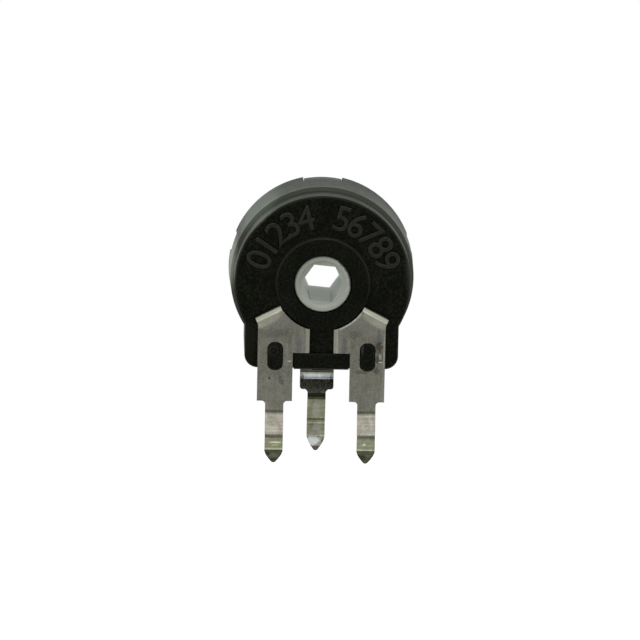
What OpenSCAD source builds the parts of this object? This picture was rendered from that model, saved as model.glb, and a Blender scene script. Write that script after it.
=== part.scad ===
// Carbon trimmer potentiometer, ten millimetre size, standing on its pins.
// X runs to the right seen from the back, Y runs from the back hub to the front, Z is up.
// The origin is on the rotor's axis, in the plane of the back hub's face.

/* [Body] */
// Outside diameter of the moulded body at its front skirt
body_d = 10.2; // [10:0.05:10.6]
// Depth from the back hub's face to the front rim
body_depth = 5.35; // [4.8:0.05:5.8]
// Thickness of the side wall at the front rim
side_wall = 0.65; // [0.55:0.05:0.75]
// Thickness of the back wall, as a share of the depth
back_wall_share = 0.15; // [0.12:0.01:0.18]
// How much smaller in radius the back part of the body is
skirt_step = 0.28; // [0.2:0.02:0.34]
// Depth at which the body steps out to the skirt
skirt_step_y = 1.9; // [1:0.05:2.4]
// How much wider in radius the skirt is at its rim than at its start
skirt_draft = 0.08; // [0.02:0.01:0.1]
// Width of the bevel round the back face
edge_bevel = 0.2; // [0.1:0.01:0.24]
// Width of the foot block, as a share of the body's diameter
block_share = 0.8235; // [0.78:0.0005:0.88]
// How far the body's underside is cut flat, above the lowest point of its circle
block_rise = 0.36; // [0.1:0.02:0.5]
// Radius of the foot block's lower corners
block_corner = 0.72; // [0.4:0.02:1]
// Chamfer on the foot block's edges
block_chamfer = 0.08; // [0.04:0.01:0.15]

/* [Hub] */
// Diameter of the raised hub on the back face, as a share of the body's
hub_share = 0.5; // [0.47:0.002:0.51]
// Bore in the hub, in which the rotor turns, as a share of the hub's diameter
bore_share = 0.624; // [0.6:0.001:0.65]
// Wall of the bearing tube inside the body
tube_wall = 0.6; // [0.4:0.05:0.62]
// Radial running clearance of the rotor
rotor_gap = 0.06; // [0.04:0.01:0.09]

/* [Rotor] */
// Hexagonal socket across its flats, as a share of the bore
socket_share = 0.63; // [0.6:0.01:0.66]
// How far the rotor's back end lies below the hub's face
rotor_sink = 0.06; // [0.04:0.01:0.15]
// Depth of the countersink round the socket, as a share of the wall there
countersink_share = 0.4; // [0.3:0.02:0.6]
// Depth of the countersink on the rotor's front end, as a share of the wall there
front_sink_share = 0.36; // [0.25:0.01:0.45]
// Thickness of the rotor's flange, as a share of the body's depth
flange_share = 0.13; // [0.12:0.01:0.16]
// Diameter of the rotor's front boss, as a share of the body's
boss_share = 0.451; // [0.41:0.001:0.47]
// Mechanical travel, in degrees
travel = 230; // [220:1:236]
// Where the rotor stands at rest, in degrees from mid travel
rest_turn = 5.3; // [-20:0.1:20]

/* [Resistive element] */
// Thickness of the substrate
substrate_t = 0.4; // [0.3:0.05:0.5]
// Thickness of the printed layers
film_t = 0.03; // [0.02:0.005:0.05]
// Radial distance from the hub to the carbon track
track_gap = 0.28; // [0.2:0.02:0.4]
// Radial distance from the carbon track to the wall of the cavity
track_margin = 0.3; // [0.25:0.05:0.5]
// Arc of the carbon track, in degrees
track_arc = 220; // [210:1:224]

/* [Terminals] */
// Spacing of the two outer pins
pitch = 5.04; // [4.96:0.02:5.08]
// Thickness of the terminals' sheet
sheet_t = 0.3; // [0.25:0.01:0.32]
// Width of a pin
pin_w = 1; // [0.8:0.01:1.1]
// How far below the body's underside the shoulders lie that rest on the board
seat_below = 1.78; // [1.6:0.01:2.1]
// Length of a pin below its shoulders
pin_len = 3.48; // [3:0.02:3.8]
// Length of a pin's point
point_len = 0.7; // [0.5:0.02:0.8]
// Width of an outer terminal's shank
shank_w = 1.92; // [1.8:0.02:2]
// Half of the gap between the outer terminals, below the hub
neck_x = 0.63; // [0.58:0.01:0.7]
// Gap between the hub and the outer terminals
hub_gap = 0.06; // [0.05:0.01:0.1]
// Width of the staking slot
slot_w = 0.86; // [0.8:0.02:1]
// Height of the staking slot
slot_h = 1.58; // [1.4:0.02:1.7]
// Height of the middle of the staking slot over the body's underside
slot_rise = 0.72; // [0.65:0.01:0.8]
// Height of the locating bar between the terminals
bar_h = 0.91; // [0.75:0.01:0.95]
// Depth of the kink that holds a pin in the board
kink = 0.35; // [0.2:0.01:0.4]
// Width of the collector's shank
collector_w = 1.86; // [1.6:0.02:1.9]
// How far the collector stands off the middle
collector_x = -0.14; // [-0.2:0.01:0.2]
// How far the collector's shank is jogged to the front, above its shoulders
collector_jog = 0.14; // [0.05:0.01:0.2]
// How far it then comes towards the back, below its shoulders
collector_return = 0.34; // [0.1:0.01:0.4]
// Depth of the kink in the collector's pin
collector_kink = 0.25; // [0.15:0.01:0.4]

/* [Cover] */
// How far the rim stands proud of the cover, as a share of the depth
rim_share = 0.08; // [0.06:0.01:0.1]
// Arc of the top lug, in degrees
top_lug_arc = 24; // [20:1:28]
// Arc of each side lug, in degrees
side_lug_arc = 12; // [10:1:16]
// Angle of the side lugs from the top, in degrees
side_lug_angle = 74; // [68:1:80]
// How far the lugs lie below the skirt
lug_sink = 0.1; // [0.05:0.01:0.15]
// Width of the cover's foot
foot_w = 5; // [4:0.1:6]

/* [Hidden] */

$fn = 72;
// Gap between pieces that are assembled and then stay put
fit = 0.03;
// Overlap that joins the parts of one solid
join = 0.05;

// Radii
body_r = body_d / 2;
back_r = body_r - skirt_step;
face_r = back_r - edge_bevel;
hub_r = hub_share * body_r;
bore_r = bore_share * hub_r;
tube_r = bore_r + tube_wall;
seat_r = body_r - side_wall;
ledge = 0.25;
cavity_r = seat_r - ledge;
stop_share = 0.886;
stop_r = stop_share * cavity_r;
stop_gap = 0.12;
flange_r = stop_r - stop_gap;
lug_r = cavity_r - stop_gap;
shank_r = bore_r - rotor_gap;
socket_r = socket_share * bore_r / cos(30);
countersink = countersink_share * (shank_r - socket_r);
boss_r = boss_share * body_r;
front_sink = front_sink_share * (boss_r - socket_r);
window_r = boss_r + rotor_gap;
track_in = hub_r + track_gap;
track_out = cavity_r - track_margin;

// Heights below the axis
block_drop = body_r - block_rise;
block_w = block_share * body_d;
seat_drop = block_drop + seat_below;
slot_drop = block_drop - slot_rise;
bar_drop = block_drop - bar_h;

// Depths along Y
face_y = sheet_t;
inner_y = face_y + back_wall_share * body_depth;
track_y = inner_y + substrate_t;
film_y = track_y + film_t;
// The room for the wiper on both sides of the flange, as shares of the depth
wiper_share = 0.13;
collector_share = 0.07;
flange_y = film_y + wiper_share * body_depth;
flange_t = flange_share * body_depth;
flange_front_y = flange_y + flange_t;
collector_y = flange_front_y + collector_share * body_depth;
ledge_y = collector_y + sheet_t;
cover_y = (1 - rim_share) * body_depth;
lug_share = 0.19;
lug_y = (1 - lug_share) * body_depth;

// The cover's lugs have this much room at each end, in degrees
lug_spare = 0.35;
// The collector's upper tab
top_tab_w = 1.2;

// Mechanical stops
lug_half = 14;
stop_play = 0.3;
stop_angle = travel / 2 + lug_half + stop_play;

// The wiper spring, and the window in the flange that it wraps through
wiper_in = track_in;
finger_share = 0.49;
wiper_out = wiper_in + finger_share * (track_out - track_in);
wiper_t = 0.1;
wiper_back = -0.41 * track_in;

// Outer terminals, on the right of the axis
pin_x = pitch / 2;
shank_out = pin_x + shank_w / 2;
shank_in = pin_x - shank_w / 2;
tip_drop = seat_drop + pin_len;
root_r = 0.2;
tip_r = 0.16;
// The point's outline: shares of the pin's half width, and of the point's length
point_knots = [[1, 1], [0.84, 0.69], [0.56, 0.37], [0.27, 0.1]];
// The sheared edge at the neck is rolled over: its width and its depth
neck_roll = [0.24, 0.1];
// The tab that goes through the back wall, just past the end of the travel
tab_margin = 2.4;
tab_angle = travel / 2 + tab_margin;
tab_tilt = tab_angle - 90;
tab_in = hub_r + hub_gap;
tab_margin_r = 0.07;
tab_out = cavity_r - tab_margin_r;
bend_in = 0.05;
bend_r = sheet_t + bend_in;
hook_len = 0.3;
hook_play = 0.18;
hook_in = wiper_out + hook_play;
hook_y = film_y + sheet_t;
slit_spare = 0.01;
slit_back = bend_r + slit_spare;
slot_r = 0.38;

// The pins' kinks: where they start, lie furthest out and have come back, as shares of the pin's length
kink_start = 0.18;
kink_low = 0.55;
kink_back = 0.785;
// What is left of the kink there, and how far the tip leans the other way, as shares of the kink
kink_left = 0.65;
tip_lean = 0.35;
// Half of the length over which a bend in a pin is softened
bend_soft = 0.12;
// The collector's jog: the heights over its shoulders where it starts and where it lies furthest in front,
// and how far below them it lies furthest back
jog_top = 1;
jog_end = 0.62;
jog_level = 0.36;

// A shape drawn in X and Z, from one depth to another
module slab(y0, y1) {
    translate([0, y1, 0]) rotate([90, 0, 0]) linear_extrude(y1 - y0) children();
}

// A profile drawn as radius and depth, turned about the rotor's axis
module turned() {
    rotate([-90, 0, 0]) rotate_extrude() children();
}

// A profile drawn as depth and height, from one X to another
module strip(x0, x1) {
    translate([x0, 0, 0]) rotate([90, 0, 90]) linear_extrude(x1 - x0) children();
}

// A sector of the plane between two angles, counted from the top towards +X
module wedge(a0, a1) {
    far = body_d;
    pieces = 6;
    polygon(concat([[0, 0]],
        [for (i = [0:pieces]) let (a = a0 + (a1 - a0) * i / pieces) far * [sin(a), cos(a)]]));
}

module ring(inner, outer) {
    difference() {
        circle(outer);
        circle(inner);
    }
}

module ring_sector(inner, outer, a0, a1) {
    intersection() {
        ring(inner, outer);
        wedge(a0, a1);
    }
}

module round_rect(w, h, r) {
    square([w - 2 * r, h], center = true);
    square([w, h - 2 * r], center = true);
    for (sx = [-1, 1], sz = [-1, 1])
        translate([sx * (w / 2 - r), sz * (h / 2 - r)]) circle(r, $fn = 32);
}

// The foot block, with a chamfer all round at its back and front
module foot_block() {
    bottom = -block_drop;
    top = -block_drop / 2;
    c = block_chamfer;
    corner_x = block_w / 2 - block_corner;
    corner_z = bottom + block_corner;
    strip(-corner_x, corner_x) polygon([
        [face_y, top], [face_y, bottom + c], [face_y + c, bottom],
        [body_depth - c, bottom], [body_depth, bottom + c], [body_depth, top]]);
    translate([0, 0, corner_z]) linear_extrude(top - corner_z) polygon([
        for (s = [-1, 1]) each [
            [s * (block_w / 2 - c), s > 0 ? face_y : body_depth],
            [s * block_w / 2, s > 0 ? face_y + c : body_depth - c],
            [s * block_w / 2, s > 0 ? body_depth - c : face_y + c],
            [s * (block_w / 2 - c), s > 0 ? body_depth : face_y]]]);
    for (s = [-1, 1]) translate([s * corner_x, 0, corner_z]) turned() polygon([
        [0, face_y], [block_corner - c, face_y], [block_corner, face_y + c],
        [block_corner, body_depth - c], [block_corner - c, body_depth], [0, body_depth]]);
}

// The outside of the cup, with the raised hub
module cup_outside() {
    edge = 0.06;
    bevel_depth = 0.13;
    rim_edge = 0.08;
    // The slope on which the body steps out to the skirt goes this far in depth
    step_depth = 0.2;
    // The bevel is steeper at its outer end: its corner, as shares of its width and its depth
    bend = [0.65, 0.25];
    turned() polygon([
        [0, 0], [hub_r - edge, 0], [hub_r, edge], [hub_r, face_y], [face_r, face_y],
        [face_r + edge_bevel * bend[0], face_y + bevel_depth * bend[1]], [back_r, face_y + bevel_depth],
        [back_r, skirt_step_y], [body_r - skirt_draft, skirt_step_y + step_depth],
        [body_r, body_depth - rim_edge],
        [body_r - rim_edge, body_depth], [0, body_depth]]);
}

// The space inside the cup, with the ledge that carries the cover
module cup_inside() {
    turned() polygon([
        [tube_r, inner_y], [cavity_r, inner_y], [cavity_r, ledge_y], [seat_r, ledge_y],
        [seat_r, body_depth + join], [0, body_depth + join], [0, flange_y - fit],
        [tube_r, flange_y - fit]]);
}

// The rib that stops the rotor's lug at both ends of its travel
module stop_rib() {
    slab(inner_y - join, collector_y) ring_sector(stop_r, cavity_r + join, stop_angle, 360 - stop_angle);
}

// The slits through which the two tabs enter
module tab_slit(y0, y1) {
    for (side = [0, 1]) mirror([side, 0, 0]) rotate([0, tab_tilt, 0])
        translate([tab_in - fit, y0, -slit_back])
            cube([tab_out - tab_in + 2 * fit, y1 - y0, slit_back + fit]);
}

// The collector's way out, and the pocket for its upper tab
module collector_channel() {
    slab(collector_y, ledge_y + join) {
        translate([collector_x, -block_drop / 2 - hub_r / 2])
            square([collector_w + 2 * fit, block_drop], center = true);
        translate([0, seat_r / 2]) square([top_tab_w + 2 * fit, seat_r], center = true);
    }
}

// The notches in the rim that take the cover's lugs
module lug_sectors(inner, outer, spare) {
    for (lug = [[0, top_lug_arc], [side_lug_angle, side_lug_arc], [-side_lug_angle, side_lug_arc]])
        ring_sector(inner, outer, lug[0] - lug[1] / 2 - spare, lug[0] + lug[1] / 2 + spare);
}

// One staking peg, its head rounded by the hot tool
module peg() {
    head = 0.1;
    skin = 0.01;
    // The head's outline at three heights: the share of its height, and how much narrower it is there
    layers = [[0, 0], [0.6, 0.08], [1, 0.3]];
    w = slot_w - 2 * fit;
    h = slot_h - 2 * fit;
    r = slot_r - fit;
    translate([pin_x, 0, -slot_drop]) {
        slab(-join / 2, face_y + join) round_rect(w, h, r);
        hull() for (layer = layers) slab(-head * layer[0] - skin, -head * layer[0])
            round_rect(w - layer[1], h - layer[1], r - layer[1] / 2);
    }
}

// The bar between the two outer terminals
module locating_bar() {
    bar_edge = 0.06;
    half = shank_in - hub_gap;
    top = -bar_drop - fit;
    strip(-half, half) polygon([
        [face_y + join, top], [bar_edge, top], [0, top - bar_edge], [0, -block_drop + block_chamfer],
        [block_chamfer, -block_drop], [face_y + join + block_chamfer, -block_drop]]);
}

// The small pad left by the mould's gate, in the middle of the underside
module gate_pad() {
    gate_w = 1;
    gate_h = 0.1;
    slab(face_y + block_chamfer, collector_y - gate_h)
        translate([0, -block_drop]) square([gate_w, 2 * gate_h], center = true);
}

module housing() {
    color([0.07, 0.07, 0.065]) {
        difference() {
            union() {
                cup_outside();
                foot_block();
            }
            cup_inside();
            slab(-join, body_depth + join) translate([0, -block_drop - body_r])
                square(body_r * 2, center = true);
            translate([0, -join, 0]) turned() square([bore_r, body_depth]);
            slab(lug_y - fit, body_depth + join) lug_sectors(seat_r - ledge, body_r + join, lug_spare);
            slab(ledge_y, body_depth + join) translate([0, -block_drop])
                square([foot_w + 2 * fit, block_drop], center = true);
            collector_channel();
            tab_slit(face_y - join, inner_y + join);
        }
        difference() {
            stop_rib();
            collector_channel();
        }
        for (side = [0, 1]) mirror([side, 0, 0]) peg();
        locating_bar();
        gate_pad();
    }
}

module front_cover() {
    window_edge = 0.12;
    color([0.09, 0.09, 0.085]) difference() {
        union() {
            turned() polygon([
                [0, ledge_y], [seat_r - fit, ledge_y], [seat_r - fit, cover_y], [0, cover_y]]);
            slab(lug_y, body_depth) lug_sectors(seat_r - ledge, body_r - lug_sink, 0);
            slab(ledge_y, body_depth) intersection() {
                translate([0, -block_drop / 2]) square([foot_w, block_drop], center = true);
                difference() {
                    square(block_drop * 2, center = true);
                    circle(seat_r - ledge);
                }
            }
        }
        turned() polygon([
            [0, ledge_y - join], [window_r, ledge_y - join], [window_r, cover_y - window_edge],
            [window_r + window_edge, cover_y], [window_r + window_edge, body_depth + join],
            [0, body_depth + join]]);
    }
}

module rotor() {
    back = rotor_sink;
    edge = 0.06;
    boss_edge = 0.1;
    countersink_lip = 0.02;
    // The pointer on the front end: its depth, half of its width and its margin
    pointer_deep = 0.25;
    pointer_half = 0.32;
    pointer_margin = 0.2;
    color([0.86, 0.87, 0.83]) rotate([0, rest_turn, 0]) difference() {
        union() {
            turned() polygon([
                [0, back], [shank_r - edge, back], [shank_r, back + edge], [shank_r, flange_y],
                [flange_r, flange_y], [flange_r, flange_front_y], [boss_r, flange_front_y],
                [boss_r, cover_y - boss_edge], [boss_r - boss_edge, cover_y], [0, cover_y]]);
            slab(flange_y, flange_front_y) ring_sector(flange_r - join, lug_r, -lug_half, lug_half);
        }
        slab(back - join, cover_y + join) circle(socket_r, $fn = 6);
        turned() polygon([[0, back - join], [socket_r + countersink + join, back - join],
            [socket_r + countersink_lip, back + countersink], [0, back + countersink]]);
        turned() polygon([[0, cover_y + join], [socket_r + front_sink + join, cover_y + join],
            [socket_r + countersink_lip, cover_y - front_sink], [0, cover_y - front_sink]]);
        slab(cover_y - pointer_deep, cover_y + join) polygon([[0, boss_r - pointer_margin],
            [-pointer_half, socket_r + pointer_margin], [pointer_half, socket_r + pointer_margin]]);
        translate([wiper_back - fit, flange_y - join, wiper_in - fit])
            cube([wiper_t + 2 * fit, flange_t + 2 * join, wiper_out - wiper_in + 2 * fit]);
    }
}

// One strip of spring, wrapped through the flange: two fingers on the track, one arm on the collector
module wiper_spring() {
    touch = 0.015;
    bow = 0.5;
    low = film_y + touch;
    high = collector_y - touch;
    t = wiper_t;
    split = 0.14;
    middle = (wiper_in + wiper_out) / 2;
    // Half of a contact's flat, and the upturned ends of the fingers and of the arm
    flat = 0.1;
    toe = 0.35;
    toe_lift = 0.2;
    heel = 0.3;
    heel_lift = 0.08;
    color([0.8, 0.66, 0.35]) rotate([0, rest_turn, 0]) difference() {
        translate([0, 0, wiper_in]) linear_extrude(wiper_out - wiper_in) polygon([
            [wiper_back, flange_y - t], [wiper_back + bow, flange_y - t], [-flat, low], [flat, low],
            [toe, low + toe_lift], [toe, low + toe_lift + t], [flat, low + t], [-flat, low + t],
            [wiper_back + bow, flange_y], [wiper_back + t, flange_y],
            [wiper_back + t, flange_front_y], [wiper_back + bow, flange_front_y], [-flat, high - t],
            [flat, high - t], [heel, high - t - heel_lift], [heel, high - heel_lift], [flat, high],
            [-flat, high], [wiper_back + bow, flange_front_y + t], [wiper_back, flange_front_y + t]]);
        translate([wiper_back + bow, low - join, middle - split / 2])
            cube([toe - wiper_back, flange_y - low, split]);
    }
}

module element_outline(inner, outer) {
    spare = 2;
    difference() {
        ring(inner, outer);
        ring_sector(stop_r - 2 * fit, body_r, stop_angle - spare, 360 - stop_angle + spare);
    }
}

module substrate() {
    color([0.45, 0.27, 0.14]) difference() {
        slab(inner_y, track_y) element_outline(tube_r + fit, cavity_r - fit);
        tab_slit(inner_y - join, track_y + join);
    }
}

module carbon_track() {
    color([0.05, 0.05, 0.055]) slab(track_y, film_y)
        ring_sector(track_in, track_out, -track_arc / 2, track_arc / 2);
}

// The silver end of the track, through which a tab passes
module end_pad() {
    pad_gap = 0.15;
    pad_land = 0.07;
    pad_over = atan((slit_back + pad_land) / tab_in);
    color([0.75, 0.76, 0.78]) difference() {
        slab(track_y, film_y)
            ring_sector(tube_r + pad_gap, track_out, track_arc / 2, tab_angle + pad_over);
        tab_slit(track_y - join, film_y + join);
    }
}

module right_end_pad() {
    end_pad();
}

module left_end_pad() {
    mirror([1, 0, 0]) end_pad();
}

// A pin seen from the back: straight sides, filleted root, pointed tip
module pin_outline() {
    half = pin_w / 2;
    last = len(point_knots) - 1;
    function on_point(i, side) =
        [side * half * point_knots[i][0], -tip_drop + point_len * point_knots[i][1]];
    polygon(concat([[-half, -seat_drop + join], [half, -seat_drop + join]],
        [for (i = [0:last]) on_point(i, 1)], [for (i = [0:last]) on_point(last - i, -1)]));
    translate([0, -tip_drop + tip_r]) circle(tip_r, $fn = 32);
    for (s = [-1, 1]) difference() {
        translate([s * (half + root_r / 2), -seat_drop - root_r / 2 + join / 2])
            square([root_r, root_r + join], center = true);
        translate([s * (half + root_r), -seat_drop - root_r]) circle(root_r, $fn = 32);
    }
}

// Height to depth along a bent strip: straight runs between knots, softened at each bend
function run(knots, z, i = 0) = i >= len(knots) - 2 || z >= knots[i + 1][0]
    ? knots[i][1] + (knots[i + 1][1] - knots[i][1]) * (z - knots[i][0]) / (knots[i + 1][0] - knots[i][0])
    : run(knots, z, i + 1);
function soft(knots, z, w = bend_soft) =
    (run(knots, z - w) + run(knots, z - w / 2) + run(knots, z)
    + run(knots, z + w / 2) + run(knots, z + w)) / 5;

// A bent strip's section: its back and its front side, a sheet's thickness apart
module bent_section(knots, mid_y) {
    steps = 56;
    top = knots[0][0];
    low = knots[len(knots) - 1][0];
    line = [for (i = [0:steps]) let (z = top + (low - top) * i / steps) [mid_y + soft(knots, z), z]];
    polygon(concat([for (p = line) [p[0] - sheet_t / 2, p[1]]],
        [for (i = [0:steps]) [line[steps - i][0] + sheet_t / 2, line[steps - i][1]]]));
}

// The knots of a pin: it leans one way, comes back and ends in a leaning point
function pin_knots(lean) = [
    [-seat_drop - pin_len * kink_start, 0], [-seat_drop - pin_len * kink_low, -lean],
    [-seat_drop - pin_len * kink_back, -lean * kink_left], [-tip_drop, lean * tip_lean]];

// A quarter of a bend in a tab, about a centre at this depth, from one angle to another
function bend(cy, r, a0, a1) = let (pieces = 6)
    [for (i = [0:pieces]) let (a = a0 + (a1 - a0) * i / pieces) [cy + r * cos(a), -bend_r + r * sin(a)]];

// A tab's section, in depth and in height: up from the plate, through the wall, and the hook inside
module tab() {
    strip(tab_in, tab_out) polygon(concat(
        [[0, -bend_r - join]], bend(bend_r, bend_r, 180, 90),
        [[hook_y - bend_r, 0], [hook_y - bend_r, -sheet_t]],
        bend(bend_r, bend_in, 90, 180), [[sheet_t, -bend_r - join]]));
    strip(hook_in, tab_out) polygon(concat(
        [[hook_y - bend_r - join, 0]], bend(hook_y - bend_r, bend_r, 90, 0),
        [[hook_y, -bend_r - hook_len], [hook_y - sheet_t, -bend_r - hook_len]],
        bend(hook_y - bend_r, bend_in, 0, 90), [[hook_y - bend_r - join, -sheet_t]]));
}

module outer_terminal() {
    // A point given along the tab's line and above it, in X and Z
    function on_tab(r, s) = [r * cos(tab_tilt) + s * sin(tab_tilt), -r * sin(tab_tilt) + s * cos(tab_tilt)];
    corner = on_tab(tab_out, -bend_r);
    corner_cut = 0.15;
    root = 0.3;
    color([0.72, 0.71, 0.68]) {
        difference() {
            slab(0, sheet_t) polygon([
                on_tab(tab_in - root, -bend_r), corner, [shank_out, corner[1] - corner_cut],
                [shank_out, -seat_drop], [shank_in, -seat_drop], [shank_in, -bar_drop],
                [neck_x, -bar_drop], [neck_x, -hub_r / 2]]);
            translate([0, -join, 0]) turned() square([tab_in, sheet_t + 2 * join]);
            translate([pin_x, 0, -slot_drop]) slab(-join, sheet_t + join)
                round_rect(slot_w, slot_h, slot_r);
            translate([neck_x, 0, -bar_drop - join]) linear_extrude(bar_drop - hub_r / 2) polygon([
                [-join, -join], [neck_roll[0], -join], [neck_roll[0], 0], [0, neck_roll[1]],
                [-join, neck_roll[1]]]);
        }
        rotate([0, tab_tilt, 0]) tab();
        intersection() {
            translate([pin_x, 0, 0]) slab(-1, 1) pin_outline();
            strip(0, pitch) bent_section(concat([[-seat_drop + join, 0]], pin_knots(kink)), sheet_t / 2);
        }
    }
}

module right_terminal() {
    outer_terminal();
}

module left_terminal() {
    mirror([1, 0, 0]) outer_terminal();
}

// The middle terminal: a ring that the wiper rubs on, a tab at its top and a jogged tail
module collector_terminal() {
    ring_gap = 0.2;
    ring_margin = 0.1;
    ring_in = boss_r + ring_gap;
    ring_out = flange_r - ring_margin;
    shoulder_r = 0.15;
    half = collector_w / 2;
    tail_top = -block_drop;
    overlap = 0.2;
    color([0.7, 0.7, 0.7]) {
        slab(collector_y, ledge_y) difference() {
            union() {
                circle(ring_out);
                translate([0, (seat_r - fit) / 2]) square([top_tab_w, seat_r - fit], center = true);
                translate([collector_x, tail_top / 2]) square([collector_w, -tail_top], center = true);
            }
            circle(ring_in);
        }
        translate([collector_x, 0, 0]) intersection() {
            slab(0, body_depth) {
                translate([0, (tail_top - seat_drop + overlap / 2) / 2])
                    round_rect(collector_w, seat_drop + tail_top + overlap / 2, shoulder_r);
                translate([0, tail_top]) square([collector_w, overlap], center = true);
                pin_outline();
            }
            strip(-half, half) bent_section([
                [tail_top + join, 0], [-seat_drop + jog_top, 0], [-seat_drop + jog_end, collector_jog],
                [-seat_drop - jog_level, -collector_return],
                for (k = [1:3]) pin_knots(-collector_kink)[k]],
                collector_y + sheet_t / 2);
        }
    }
}

housing();
front_cover();
rotor();
wiper_spring();
substrate();
carbon_track();
left_end_pad();
right_end_pad();
left_terminal();
right_terminal();
collector_terminal();
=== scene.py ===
import math
from typing import NamedTuple

import bmesh
import bpy
from mathutils import Matrix, Vector


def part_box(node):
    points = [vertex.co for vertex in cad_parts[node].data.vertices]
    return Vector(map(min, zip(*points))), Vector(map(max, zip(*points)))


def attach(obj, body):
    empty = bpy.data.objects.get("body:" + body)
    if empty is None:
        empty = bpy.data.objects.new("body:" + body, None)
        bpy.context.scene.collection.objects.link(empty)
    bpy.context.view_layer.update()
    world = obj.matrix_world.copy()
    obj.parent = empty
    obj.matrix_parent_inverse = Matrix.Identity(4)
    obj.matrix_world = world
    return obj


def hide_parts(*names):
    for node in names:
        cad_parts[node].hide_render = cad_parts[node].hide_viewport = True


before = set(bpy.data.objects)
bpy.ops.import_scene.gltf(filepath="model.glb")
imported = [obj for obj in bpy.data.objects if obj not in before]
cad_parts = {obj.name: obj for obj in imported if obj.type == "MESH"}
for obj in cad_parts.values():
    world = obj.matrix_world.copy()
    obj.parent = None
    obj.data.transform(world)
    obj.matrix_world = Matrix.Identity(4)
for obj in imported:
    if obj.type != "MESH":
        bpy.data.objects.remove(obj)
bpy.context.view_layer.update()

MM = 0.001

bl_info = {
    "name": "Trimmer potentiometer",
    "version": (1, 0, 0),
    "blender": (4, 5, 0),
    "location": "View3D > Sidebar > Trimmer",
    "description": "Finishes the pieces of a carbon trimmer and sets up its picture",
    "category": "Object",
}

# Places on the part that the finishes, the shapes and the floor are set from

HUB_RADIUS = 2.55 * MM
BACK_FACE_Y = 0.3 * MM
SOCKET_MOUTH_Y = 0.06 * MM
SOCKET_REACH = 1.2 * MM
PINS_END_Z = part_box("left_terminal")[0].z


class TrimmerSizes(bpy.types.PropertyGroup):
    """Sizes of the details that the solids leave out, in metres."""

    arc_step: bpy.props.FloatProperty(
        name="Arc step", description="Longest straight piece of a round edge",
        default=0.22 * MM, min=0.05 * MM, unit="LENGTH")
    moulded_edge: bpy.props.FloatProperty(
        name="Moulded edge", description="Rounding of the black mouldings' edges",
        default=0.052 * MM, min=0.0, unit="LENGTH")
    rotor_edge: bpy.props.FloatProperty(
        name="Rotor edge", description="Rounding of the rotor's edges",
        default=0.045 * MM, min=0.0, unit="LENGTH")
    sheet_edge: bpy.props.FloatProperty(
        name="Sheet edge", description="Rounding of the terminals' sheared edges",
        default=0.04 * MM, min=0.0, unit="LENGTH")
    bend: bpy.props.FloatProperty(
        name="Bend", description="Rounding of the bends at the terminals' upper and inner edges",
        default=0.1 * MM, min=0.0, unit="LENGTH")
    mouth: bpy.props.FloatProperty(
        name="Socket's mouth", description="Rounding of the near mouth of the rotor's socket",
        default=0.2 * MM, min=0.0, unit="LENGTH")
    digit_height: bpy.props.FloatProperty(
        name="Digit height", description="Height of a raised number on the back face",
        default=1.45 * MM, min=0.5 * MM, unit="LENGTH")
    digit_relief: bpy.props.FloatProperty(
        name="Digit relief", description="How far a number stands proud of the back face",
        default=0.12 * MM, min=0.0, unit="LENGTH")
    digit_radius: bpy.props.FloatProperty(
        name="Digit radius", description="Distance from the axis to the middle of a number",
        default=3.72 * MM, min=2.0 * MM, unit="LENGTH")
    digit_step: bpy.props.FloatProperty(
        name="Digit step", description="Angle between two numbers of one group",
        default=math.radians(13.6), subtype="ANGLE")
    digit_gap: bpy.props.FloatProperty(
        name="Digit gap", description="Angle between the two groups of numbers",
        default=math.radians(31), subtype="ANGLE")


class TrimmerFinishes(bpy.types.PropertyGroup):
    """Colours of the materials."""

    body_colour: bpy.props.FloatVectorProperty(
        name="Body", description="Black moulding of the housing",
        default=(0.0027, 0.0028, 0.0021), min=0.0, max=1.0, subtype="COLOR")
    # The outside of the black mouldings takes this lighter colour as a painted sheen
    scuffed_colour: bpy.props.FloatVectorProperty(
        name="Painted skirt sheen", description="Painted sheen on the outside of the black mouldings",
        default=(0.0115, 0.0138, 0.0102), min=0.0, max=1.0, subtype="COLOR")
    # The numbers' lighter colour is a painted sheen on their raised tops
    number_colour: bpy.props.FloatVectorProperty(
        name="Numbers", description="Painted sheen on the tops of the raised numbers",
        default=(0.0085, 0.0087, 0.0062), min=0.0, max=1.0, subtype="COLOR")
    cover_colour: bpy.props.FloatVectorProperty(
        name="Cover", description="Black moulding of the front cover",
        default=(0.006, 0.0064, 0.0052), min=0.0, max=1.0, subtype="COLOR")
    rotor_colour: bpy.props.FloatVectorProperty(
        name="Rotor", description="Off-white moulding of the rotor",
        default=(0.46, 0.485, 0.45), min=0.0, max=1.0, subtype="COLOR")
    tin_colour: bpy.props.FloatVectorProperty(
        name="Tin", description="Tinned sheet of the terminals",
        default=(0.42, 0.41, 0.38), min=0.0, max=1.0, subtype="COLOR")
    stain_colour: bpy.props.FloatVectorProperty(
        name="Stain", description="Dull stains on the tinned sheet",
        default=(0.2, 0.19, 0.165), min=0.0, max=1.0, subtype="COLOR")
    brass_colour: bpy.props.FloatVectorProperty(
        name="Brass", description="Spring strip of the wiper",
        default=(0.72, 0.55, 0.28), min=0.0, max=1.0, subtype="COLOR")
    laminate_colour: bpy.props.FloatVectorProperty(
        name="Laminate", description="Pressed paper of the substrate",
        default=(0.3, 0.16, 0.075), min=0.0, max=1.0, subtype="COLOR")
    carbon_colour: bpy.props.FloatVectorProperty(
        name="Carbon", description="Printed carbon layer",
        default=(0.012, 0.012, 0.014), min=0.0, max=1.0, subtype="COLOR")
    silver_colour: bpy.props.FloatVectorProperty(
        name="Silver", description="Printed silver layer",
        default=(0.7, 0.7, 0.71), min=0.0, max=1.0, subtype="COLOR")


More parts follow.
